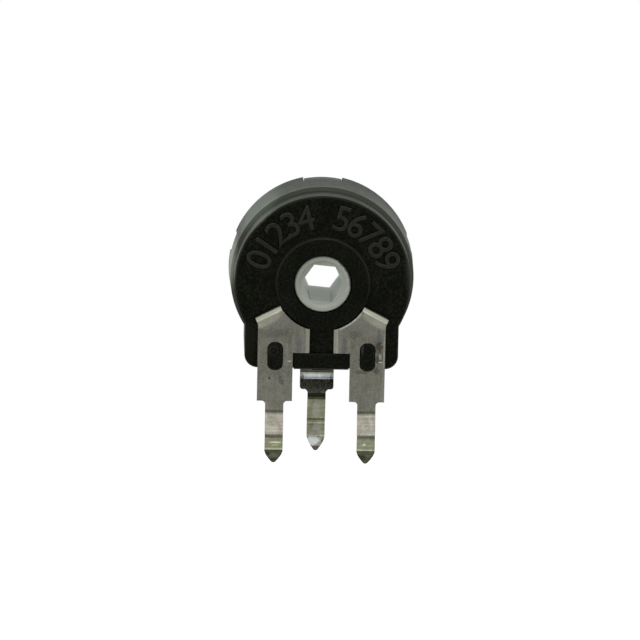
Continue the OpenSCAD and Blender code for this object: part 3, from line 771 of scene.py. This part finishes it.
def soften(shape, width, limit):
    """Rounds the edges at which two faces meet at more than the limit, in degrees."""
    if width > 0:
        sharp = [edge for edge in shape.edges
                 if len(edge.link_faces) == 2 and edge.calc_face_angle(0.0) > math.radians(limit)]
        bevel(shape, sharp, width, 2, "ARC")


def round_mouth(shape, width):
    """Rounds the near mouth of the rotor's socket."""
    mouth = [edge for edge in shape.edges
             if all(abs(v.co.y - SOCKET_MOUTH_Y) < 0.03 * MM and radius_of(v) < SOCKET_REACH
                    for v in edge.verts)]
    bevel(shape, mouth, width, 5)


def round_bends(shape, width):
    """Rounds the outer side of the bends above the slots of an outer terminal."""
    bends = [edge for edge in shape.edges
             if len(edge.link_faces) == 2 and edge.is_convex and edge.calc_length() > SHORTEST_BEND
             and all(v.co.z > PLATE_FOOT_Z for v in edge.verts)
             and BEND_ANGLES[0] < edge.calc_face_angle(0.0) < BEND_ANGLES[1]]
    bevel(shape, bends, width, 4)


def flat_areas(mesh):
    """The area of the flat region that each face of a mesh lies in."""
    region = list(range(len(mesh.polygons)))

    def first(face):
        while region[face] != face:
            region[face] = region[region[face]]
            face = region[face]
        return face

    seen = {}
    for face in mesh.polygons:
        for key in face.edge_keys:
            other = seen.setdefault(key, face.index)
            if other != face.index and mesh.polygons[other].normal.dot(face.normal) > 0.99999:
                region[first(face.index)] = first(other)
    areas = {}
    for face in mesh.polygons:
        home = first(face.index)
        areas[home] = areas.get(home, 0.0) + face.area
    return [areas[first(face.index)] for face in mesh.polygons]


def shade_by_area(mesh, limit):
    """Smooth shading in which the larger of the faces that meet at a corner leads."""
    mesh.shade_smooth()
    areas = flat_areas(mesh)
    around = {}
    for face in mesh.polygons:
        for vert in face.vertices:
            around.setdefault(vert, []).append(face)
    least = math.cos(limit)
    normals = []
    for face in mesh.polygons:
        for vert in face.vertices:
            total = Vector((0.0, 0.0, 0.0))
            for other in around[vert]:
                if other.normal.dot(face.normal) > least:
                    total += other.normal * areas[other.index]
            normals.append(total.normalized())
    mesh.normals_split_custom_set(normals)


def finish_object(name, shape, body, material, smooth=50.0):
    """Turns a bmesh into an object that rides on a body. Smooth is in degrees."""
    mesh = bpy.data.meshes.new(name)
    shape.to_mesh(mesh)
    shape.free()
    shade_by_area(mesh, math.radians(smooth))
    mesh.materials.clear()
    mesh.materials.append(material)
    made = bpy.data.objects.new(name, mesh)
    bpy.context.scene.collection.objects.link(made)
    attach(made, body)
    return made


def finished_node(node, name, body, material, width, limit=30.0, circles=True,
                  mouth=None, bend=None):
    """A softened copy of a CAD node that stands for it."""
    shape = merged(node)
    if mouth:
        round_mouth(shape, mouth)
    if bend:
        round_bends(shape, bend)
    if circles:
        round_circles(shape, bpy.context.scene.trimmer_sizes.arc_step)
    soften(shape, width, limit)
    made = finish_object(name, shape, body, material)
    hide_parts(node)


def paint_node(node, material):
    """Gives a CAD node that stays as it is its own material."""
    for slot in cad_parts[node].material_slots:
        slot.material = material


def digit_mesh(text, height, relief):
    """A raised number in the plane of the back face, centred on the axis, facing away from the body."""
    curve = bpy.data.curves.new("digit", "FONT")
    curve.body = text
    curve.size = height * TYPE_SIZE
    curve.align_x = "CENTER"
    curve.extrude = relief * DIGIT_WALL
    curve.bevel_depth = STROKE_EDGE
    curve.bevel_resolution = 3
    curve.offset = STROKE_OFFSET
    curve.resolution_u = 6
    source = bpy.data.objects.new("digit", curve)
    bpy.context.scene.collection.objects.link(source)
    bpy.context.view_layer.update()
    drawn = source.evaluated_get(bpy.context.evaluated_depsgraph_get())
    mesh = bpy.data.meshes.new_from_object(drawn)
    bpy.data.objects.remove(source)
    bpy.data.curves.remove(curve)
    ys = [v.co.y for v in mesh.vertices]
    mesh.transform(Matrix.Translation((0.0, -(min(ys) + max(ys)) / 2, 0.0)))
    mesh.transform(Matrix.Rotation(math.pi / 2, 4, "X"))
    return mesh


# Operators


class TRIMMER_OT_housing(bpy.types.Operator):
    """Finish the housing and put the raised numbers on its back face"""

    bl_idname = "trimmer.housing"
    bl_label = "Housing"

    def execute(self, context):
        sizes = context.scene.trimmer_sizes
        colours = context.scene.trimmer_finishes
        black = moulded_finish(
            "black moulding", colours.body_colour, sheen=0.42, mottle=24.0, bump=0.022 * MM, strength=1.0,
            specular=0.1, skirt_painted_sheen=colours.scuffed_colour, marks=HOUSING_MARKS)
        finished_node("housing", "moulded_housing", "body", black, sizes.moulded_edge)
        # The numbers' lighter colour is a painted sheen on their raised tops
        painted_sheen_numbers = moulded_finish(
            "black moulding, painted sheen", colours.number_colour, sheen=0.34, mottle=5.0, bump=0.012 * MM,
            strength=0.8, specular=0.34)
        numbers = self.numbers(sizes)
        finish_object("raised_numbers", numbers, "body", painted_sheen_numbers, smooth=60.0)
        return {"FINISHED"}

    def numbers(self, sizes):
        """Two groups of five numbers on an arc, as one bmesh."""
        shape = bmesh.new()
        for side, digits in ((-1, "43210"), (1, "56789")):
            for place, digit in enumerate(digits):
                angle = side * (sizes.digit_gap / 2 + sizes.digit_step * place)
                mesh = digit_mesh(digit, sizes.digit_height, sizes.digit_relief)
                mesh.transform(Matrix.Translation((0.0, BACK_FACE_Y, sizes.digit_radius)))
                mesh.transform(Matrix.Rotation(angle, 4, "Y"))
                shape.from_mesh(mesh)
                bpy.data.meshes.remove(mesh)
        bmesh.ops.remove_doubles(shape, verts=shape.verts[:], dist=0.0005 * MM)
        bmesh.ops.recalc_face_normals(shape, faces=shape.faces[:])
        return shape


class TRIMMER_OT_cover(bpy.types.Operator):
    """Finish the front cover"""

    bl_idname = "trimmer.cover"
    bl_label = "Front cover"

    def execute(self, context):
        sizes = context.scene.trimmer_sizes
        colours = context.scene.trimmer_finishes
        black = moulded_finish(
            "black cover moulding", colours.cover_colour, sheen=0.38, mottle=2.5, bump=0.01 * MM,
            strength=0.8, specular=0.12, skirt_painted_sheen=colours.scuffed_colour, marks=(LEFT_SIDE_SHEEN,))
        finished_node("front_cover", "moulded_cover", "body", black, sizes.moulded_edge)
        return {"FINISHED"}


class TRIMMER_OT_rotor(bpy.types.Operator):
    """Finish the rotor"""

    bl_idname = "trimmer.rotor"
    bl_label = "Rotor"

    def execute(self, context):
        sizes = context.scene.trimmer_sizes
        colours = context.scene.trimmer_finishes
        white = moulded_finish(
            "off-white moulding", colours.rotor_colour, sheen=0.42, mottle=0.35, bump=0.008 * MM,
            strength=0.35, marks=ROTOR_MARKS)
        finished_node("rotor", "moulded_rotor", "rotor", white, sizes.rotor_edge,
                      limit=25.0, mouth=sizes.mouth)
        return {"FINISHED"}


class TRIMMER_OT_terminals(bpy.types.Operator):
    """Finish the three terminals"""

    bl_idname = "trimmer.terminals"
    bl_label = "Terminals"

    def execute(self, context):
        sizes = context.scene.trimmer_sizes
        colours = context.scene.trimmer_finishes
        tin = colours.tin_colour
        stain = colours.stain_colour
        # The marks hold stains, dirt, painted highlights and painted shade, and each pin gets painted
        # shading down its length
        left = sheet_finish("tinned sheet, left", tin, stain, marks=LEFT_MARKS, pin_shades=OUTER_PIN_SHADES)
        right = sheet_finish("tinned sheet, right", tin, stain, marks=RIGHT_MARKS, pin_shades=OUTER_PIN_SHADES)
        middle = sheet_finish(
            "tinned sheet, middle", tin, stain, stains=0.4, marks=MIDDLE_MARKS, pin_shades=MIDDLE_PIN_SHADES)
        for node, name, sheet, bend in (
                ("left_terminal", "tinned_left_terminal", left, sizes.bend),
                ("right_terminal", "tinned_right_terminal", right, sizes.bend),
                ("collector_terminal", "tinned_middle_terminal", middle, None)):
            finished_node(node, name, "body", sheet, sizes.sheet_edge, circles=False,
                          bend=bend)
        return {"FINISHED"}


class TRIMMER_OT_inside(bpy.types.Operator):
    """Give the pieces inside the body their finishes"""

    bl_idname = "trimmer.inside"
    bl_label = "Pieces inside"

    def execute(self, context):
        colours = context.scene.trimmer_finishes
        brass = sheet_finish("spring brass", colours.brass_colour, (0.3, 0.2, 0.08), stains=0.25)
        silver = sheet_finish("printed silver", colours.silver_colour, (0.4, 0.38, 0.35), stains=0.4,
                              lines=0.0, polish=0.45)
        laminate = moulded_finish("paper laminate", colours.laminate_colour, sheen=0.5, mottle=0.5)
        carbon = moulded_finish("printed carbon", colours.carbon_colour, sheen=0.4, mottle=0.5)
        paint_node("wiper_spring", brass)
        paint_node("left_end_pad", silver)
        paint_node("right_end_pad", silver)
        paint_node("substrate", laminate)
        paint_node("carbon_track", carbon)
        return {"FINISHED"}


# The stage, in metres

WHITE = (1.0, 1.0, 1.0, 1.0)
FLOOR_TONE = (0.5, 0.52, 0.47)
FLOOR_IN_METAL = (0.92, 1.0, 0.8)
FLOOR_FADE = (-36 * MM, -10 * MM)
FLOOR_GLOW = (0.12, 0.7)
SURROUND_IN_METAL = (0.95, 1.0, 0.93)
LOW_TINT = (0.97, 1.0, 0.95)
HIGH_TINT = (1.0, 1.0, 0.96)
FRONT_TINT = (1.0, 1.0, 0.9)
HORIZON = (-0.02, 0.2)
BACK_FACE_SIDE = Vector((0.0, -1.0, -0.12)).normalized()
LAMP_WIDTH = 0.24
LAMP_DEPTH = LAMP_WIDTH * 0.7
LAMP_PLACE = (0.0, -0.02, 0.3)


class TRIMMER_OT_stage(bpy.types.Operator):
    """Set up the floor, the light and the camera"""

    bl_idname = "trimmer.stage"
    bl_label = "Stage"

    def execute(self, context):
        scene = context.scene
        stage = scene.trimmer_stage
        scene.view_settings.view_transform = "Standard"
        self.floor(scene, stage)
        self.surround(scene, stage)
        self.lamp(scene, stage)
        self.camera(scene, stage)
        return {"FINISHED"}

    def mirrored(self, graph, path):
        """One for a ray that metal or glass sends on."""
        return graph.maths("MAXIMUM", path["Is Glossy Ray"], path["Is Transmission Ray"])

    def floor_material(self):
        """Pale and matt. The camera sees it white, and metal sees it darker towards the camera."""
        material = bpy.data.materials.new("pale floor")
        material.use_nodes = True
        g = Graph(material.node_tree)
        shader = material.node_tree.nodes["Principled BSDF"]
        shader.inputs["Base Color"].default_value = rgba(FLOOR_TONE)
        shader.inputs["Roughness"].default_value = 0.9
        shader.inputs["Specular IOR Level"].default_value = 0.0
        path = g.node("ShaderNodeLightPath").outputs
        camera = path["Is Camera Ray"]
        level = g.apart(g.node("ShaderNodeTexCoord").outputs["Object"])["Y"]
        in_metal = g.steps(level, *FLOOR_FADE, *FLOOR_GLOW)
        white = g.node("ShaderNodeEmission")
        g.join(g.mix(camera, rgba(FLOOR_IN_METAL), WHITE), white.inputs["Color"])
        g.join(g.maths("MAXIMUM", in_metal, g.maths("MULTIPLY", camera, 0.8)), white.inputs["Strength"])
        seen = g.node("ShaderNodeAddShader")
        g.join(white.outputs["Emission"], seen.inputs[0])
        g.join(shader.outputs["BSDF"], seen.inputs[1])
        choice = g.node("ShaderNodeMixShader")
        g.join(g.maths("MAXIMUM", camera, self.mirrored(g, path)), choice.inputs[0])
        g.join(shader.outputs["BSDF"], choice.inputs[1])
        g.join(seen.outputs["Shader"], choice.inputs[2])
        g.join(choice.outputs["Shader"], material.node_tree.nodes["Material Output"].inputs["Surface"])
        return material

    def floor(self, scene, stage):
        shape = bmesh.new()
        bmesh.ops.create_circle(shape, cap_ends=True, segments=96, radius=stage.floor_reach)
        bmesh.ops.translate(shape, vec=(0.0, 0.0, PINS_END_Z - stage.floor_drop), verts=shape.verts[:])
        mesh = bpy.data.meshes.new("floor")
        shape.to_mesh(mesh)
        shape.free()
        mesh.materials.append(self.floor_material())
        floor = bpy.data.objects.new("floor", mesh)
        scene.collection.objects.link(floor)

    def surround(self, scene, stage):
        world = bpy.data.worlds.new("white surround")
        world.use_nodes = True
        g = Graph(world.node_tree)
        where = g.node("ShaderNodeTexCoord").outputs["Generated"]
        path = g.node("ShaderNodeLightPath").outputs
        low = [stage.surround * part for part in LOW_TINT]
        high = [stage.surround * stage.above * part for part in HIGH_TINT]
        front = [stage.front * part for part in FRONT_TINT]
        level = g.mix(g.steps(g.apart(where)["Z"], *HORIZON), rgba(low), rgba(high))
        level = g.mix(self.mirrored(g, path), level, rgba(SURROUND_IN_METAL))
        towards = g.vector("DOT_PRODUCT", where, BACK_FACE_SIDE, output="Value")
        dark = g.steps(towards, math.cos(stage.front_reach), math.cos(stage.front_core))
        level = g.mix(dark, level, rgba(front))
        background = world.node_tree.nodes["Background"]
        g.join(g.mix(path["Is Camera Ray"], level, WHITE), background.inputs["Color"])
        scene.world = world

    def lamp(self, scene, stage):
        light = bpy.data.lights.new("soft light overhead", "AREA")
        light.shape = "RECTANGLE"
        light.size = LAMP_WIDTH
        light.size_y = LAMP_DEPTH
        light.energy = stage.top_light * math.pi * LAMP_WIDTH * LAMP_DEPTH
        lamp = bpy.data.objects.new("soft light overhead", light)
        lamp.matrix_world = Matrix.Translation(LAMP_PLACE)
        scene.collection.objects.link(lamp)

    def camera(self, scene, stage):
        lens = bpy.data.cameras.new("camera")
        lens.sensor_width = 36.0
        lens.lens = lens.sensor_width * stage.distance / stage.width
        lens.clip_start = 0.01
        lens.clip_end = 20.0
        camera = bpy.data.objects.new("camera", lens)
        turned = (Matrix.Rotation(stage.azimuth, 4, "Z")
                  @ Matrix.Rotation(math.pi / 2 - stage.elevation, 4, "X")
                  @ Matrix.Rotation(stage.roll, 4, "Z"))
        camera.matrix_world = turned @ Matrix.Translation((stage.aim_side, stage.aim_up, stage.distance))
        scene.collection.objects.link(camera)
        scene.camera = camera


class VIEW3D_PT_trimmer(bpy.types.Panel):
    """Lists the steps in the sidebar."""

    bl_label = "Trimmer"
    bl_idname = "VIEW3D_PT_trimmer"
    bl_space_type = "VIEW_3D"
    bl_region_type = "UI"
    bl_category = "Trimmer"

    def draw(self, context):
        scene = context.scene
        for operator in OPERATORS:
            self.layout.operator(operator.bl_idname)
        for group in (scene.trimmer_sizes, scene.trimmer_finishes, scene.trimmer_stage):
            box = self.layout.box()
            for name in group.__annotations__:
                box.prop(group, name)


OPERATORS = (
    TRIMMER_OT_housing,
    TRIMMER_OT_cover,
    TRIMMER_OT_rotor,
    TRIMMER_OT_terminals,
    TRIMMER_OT_inside,
    TRIMMER_OT_stage,
)
CLASSES = (TrimmerSizes, TrimmerFinishes, TrimmerStage) + OPERATORS + (VIEW3D_PT_trimmer,)


def register():
    for item in CLASSES:
        bpy.utils.register_class(item)
    bpy.types.Scene.trimmer_sizes = bpy.props.PointerProperty(type=TrimmerSizes)
    bpy.types.Scene.trimmer_finishes = bpy.props.PointerProperty(type=TrimmerFinishes)
    bpy.types.Scene.trimmer_stage = bpy.props.PointerProperty(type=TrimmerStage)


def unregister():
    del bpy.types.Scene.trimmer_stage
    del bpy.types.Scene.trimmer_finishes
    del bpy.types.Scene.trimmer_sizes
    for item in reversed(CLASSES):
        bpy.utils.unregister_class(item)


def main():
    register()
    bpy.ops.trimmer.stage()
    bpy.ops.trimmer.housing()
    bpy.ops.trimmer.cover()
    bpy.ops.trimmer.rotor()
    bpy.ops.trimmer.terminals()
    bpy.ops.trimmer.inside()


if __name__ == "__main__":
    main()
